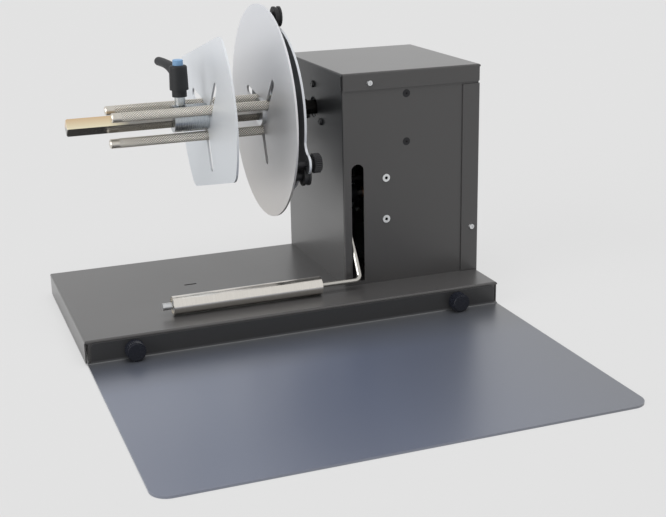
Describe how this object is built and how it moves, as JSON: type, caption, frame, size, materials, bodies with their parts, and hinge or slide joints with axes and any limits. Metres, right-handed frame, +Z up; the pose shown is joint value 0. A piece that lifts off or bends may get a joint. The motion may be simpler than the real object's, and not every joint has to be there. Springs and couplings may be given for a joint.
{
  "type": "label rewinder",
  "caption": "Table-top label rewinder: a motor housing on a sheet-metal base turns a square spindle with two flanges, core posts, a tension arm and a guide plate.",
  "frame": {"origin": "middle of the bounding box, on the table under the feet and the guide plate", "axes": "+X along the spindle from its free end to the housing, +Y from the operator to the back, +Z up"},
  "size_m": [0.4244, 0.5138, 0.3043],
  "materials": {
    "body_paint": "satin",
    "black_rubber": "matte",
    "black_plastic": "matte",
    "black_steel": "satin",
    "zinc_steel": "satin",
    "turned_aluminium": "satin",
    "polished_steel": "polished",
    "motor_paint": "satin",
    "board_laminate": "satin",
    "brass_parts": "satin",
    "gloss_rocker": "polished",
    "bronze_bush": "satin",
    "belt_rubber": "matte",
    "flange_aluminium": "satin",
    "knurled_steel": "satin",
    "lever_plastic": "satin",
    "button_plastic": "satin",
    "roller_chrome": "polished",
    "white_plastic": "satin"
  },
  "bodies": {
    "machine_body": {"base_pan": "body_paint", "base_feet": "black_rubber", "base_nuts": "zinc_steel", "guide_plate": "body_paint", "housing_shell": "body_paint", "housing_lid": "body_paint", "rear_cover": "body_paint", "casing_screws": "zinc_steel", "foot_screws": "zinc_steel", "bracket_rivets": "zinc_steel", "bracket_screws": "black_steel", "bearing_bracket": "zinc_steel", "bearing_cups": "turned_aluminium", "drive_screws": "zinc_steel", "spindle_bearings": "polished_steel", "gear_motor": "motor_paint", "control_board": "board_laminate", "board_standoffs": "brass_parts", "power_inlet": "black_plastic", "switch_frame": "black_plastic", "arm_bracket": "zinc_steel", "pivot_bushes": "bronze_bush", "arm_stops": "black_rubber", "arm_sensor": "black_plastic", "drive_belt": "belt_rubber"},
    "spindle": {"spindle_shaft": "polished_steel", "inner_flange": "flange_aluminium", "flange_hub": "turned_aluminium", "hub_nut": "zinc_steel", "rim_guides": "black_plastic", "guide_studs": "zinc_steel", "driven_pulley": "turned_aluminium", "shaft_clip": "zinc_steel"},
    "scroll": {"scroll_plate": "flange_aluminium"},
    "lock": {"lock_knob": "black_plastic"},
    "post_near": {"core_post_near": "knurled_steel", "post_nut_near": "zinc_steel"},
    "post_far": {"core_post_far": "knurled_steel", "post_nut_far": "zinc_steel"},
    "post_low": {"core_post_low": "knurled_steel", "post_nut_low": "zinc_steel"},
    "outer_side": {"outer_flange": "flange_aluminium", "clamp_collar": "polished_steel", "collar_nut": "zinc_steel"},
    "lever": {"clamp_lever": "lever_plastic", "lever_stud": "polished_steel"},
    "button": {"lever_button": "button_plastic"},
    "arm": {"tension_arm": "polished_steel", "arm_hub": "turned_aluminium", "arm_pivot_shaft": "polished_steel", "roller_cap": "zinc_steel", "roller_clips": "zinc_steel"},
    "roller": {"roller_tube": "roller_chrome", "roller_bushes": "white_plastic"},
    "motor_drive": {"motor_shaft": "polished_steel", "motor_pulley": "turned_aluminium"},
    "left_thumb": {"thumb_screw_left": "black_plastic"},
    "right_thumb": {"thumb_screw_right": "black_plastic"},
    "rocker": {"switch_rocker": "gloss_rocker"}
  },
  "joints": [
    {"name": "spindle_turn", "type": "hinge", "parent": "machine_body", "child": "spindle", "pos_m": [0.0078, 0.1486, 0.196], "axis": [1, 0, 0], "continuous": true},
    {"name": "scroll_turn", "type": "hinge", "parent": "spindle", "child": "scroll", "pos_m": [0.0228, 0.1486, 0.196], "axis": [-1, 0, 0], "range_deg": [0, 62.2]},
    {"name": "lock_turn", "type": "hinge", "parent": "scroll", "child": "lock", "pos_m": [0.0298, 0.06045, 0.15749], "axis": [1, 0, 0], "range_deg": [-90, 0]},
    {"name": "post_slide_near", "type": "slide", "parent": "spindle", "child": "post_near", "axis": [0, -0.6414, 0.7672], "range_m": [0, 0.0311]},
    {"name": "post_slide_far", "type": "slide", "parent": "spindle", "child": "post_far", "axis": [0, 0.9851, 0.1719], "range_m": [0, 0.0311]},
    {"name": "post_slide_low", "type": "slide", "parent": "spindle", "child": "post_low", "axis": [0, -0.3437, -0.9391], "range_m": [0, 0.0311]},
    {"name": "outer_slide", "type": "slide", "parent": "spindle", "child": "outer_side", "axis": [1, 0, 0], "range_m": [-0.097, 0.048]},
    {"name": "lever_turn", "type": "hinge", "parent": "outer_side", "child": "lever", "pos_m": [-0.0794, 0.1486, 0.2193], "axis": [0, 0, 1], "range_deg": [0, 45]},
    {"name": "button_push", "type": "slide", "parent": "lever", "child": "button", "axis": [0, 0, -1], "range_m": [0, 0.0025], "stiffness_N_per_m": 800, "springref_m": -0.002},
    {"name": "arm_swing", "type": "hinge", "parent": "machine_body", "child": "arm", "pos_m": [0.0778, 0.1006, 0.1123], "axis": [-1, 0, 0], "range_deg": [0, 85]},
    {"name": "roller_turn", "type": "hinge", "parent": "arm", "child": "roller", "pos_m": [-0.0452, 0.0531, 0.0336], "axis": [1, 0, 0], "continuous": true},
    {"name": "motor_turn", "type": "hinge", "parent": "machine_body", "child": "motor_drive", "pos_m": [0.1078, 0.1561, 0.095], "axis": [1, 0, 0], "continuous": true},
    {"name": "left_thumb_turn", "type": "hinge", "parent": "machine_body", "child": "left_thumb", "pos_m": [-0.1672, 0.0111, 0.0115], "axis": [0, -1, 0], "continuous": true},
    {"name": "right_thumb_turn", "type": "hinge", "parent": "machine_body", "child": "right_thumb", "pos_m": [0.1638, 0.0111, 0.0115], "axis": [0, -1, 0], "continuous": true},
    {"name": "rocker_tilt", "type": "hinge", "parent": "machine_body", "child": "rocker", "pos_m": [0.1378, 0.2339, 0.06], "axis": [-1, 0, 0], "range_deg": [0, 20]}
  ],
  "couplings": [
    {"joint": "post_slide_near", "follows": "scroll_turn", "m_per_rad": 0.028648},
    {"joint": "post_slide_far", "follows": "scroll_turn", "m_per_rad": 0.028648},
    {"joint": "post_slide_low", "follows": "scroll_turn", "m_per_rad": 0.028648},
    {"joint": "motor_turn", "follows": "spindle_turn", "ratio": 2.25}
  ]
}
